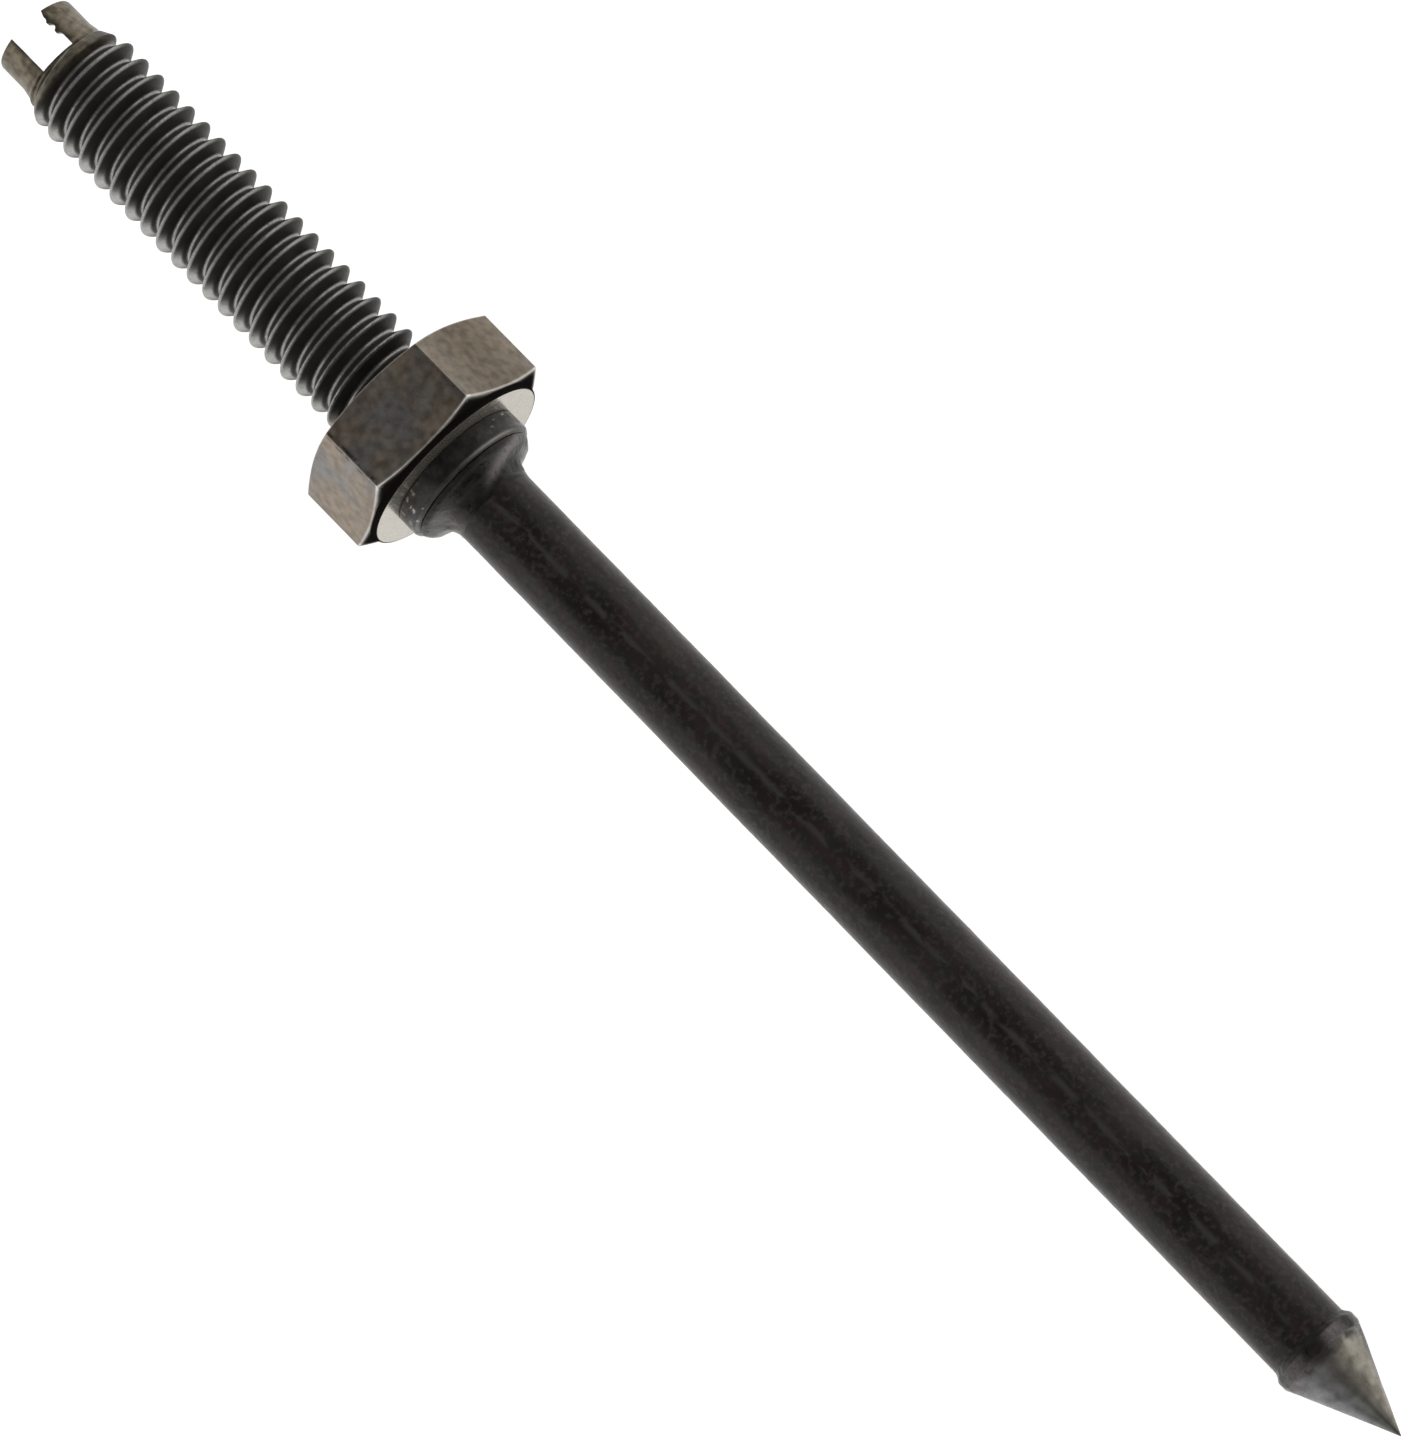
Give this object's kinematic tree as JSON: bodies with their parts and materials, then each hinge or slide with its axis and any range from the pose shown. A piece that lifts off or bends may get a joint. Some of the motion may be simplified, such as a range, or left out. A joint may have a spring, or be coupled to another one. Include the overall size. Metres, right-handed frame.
{
  "type": "screw-in ice spike",
  "caption": "Solid ice spike: slotted threaded stud with a hex jam nut, a welded collar and a long round shank ending in a welded conical point.",
  "frame": {"origin": "on the spike's axis, in the shoulder face of the collar where the nut seats", "axes": "+X along the axis towards the point, -X towards the slotted end, +Z square to two flats of the nut"},
  "size_m": [0.1538, 0.0196, 0.017],
  "materials": {
    "blackened_thread": "blackened and oiled, bare on the crests",
    "nut_steel": "browned, worn bright along the edges",
    "scaled_steel": "black mill scale",
    "weld_metal": "burnt, lumpy and glossy",
    "ground_steel": "ground, heat-stained"
  },
  "bodies": {
    "spike": {"threaded_stud": "blackened_thread", "stop_collar": "scaled_steel", "shank_weld": "weld_metal", "shank_rod": "scaled_steel", "tip_weld_bead": "weld_metal", "cone_point": "ground_steel"},
    "nut": {"hex_nut": "nut_steel"}
  },
  "joints": [
    {"name": "nut_travel", "type": "slide", "parent": "spike", "child": "nut", "axis": [-1, 0, 0], "range_m": [0, 0.03433]}
  ]
}
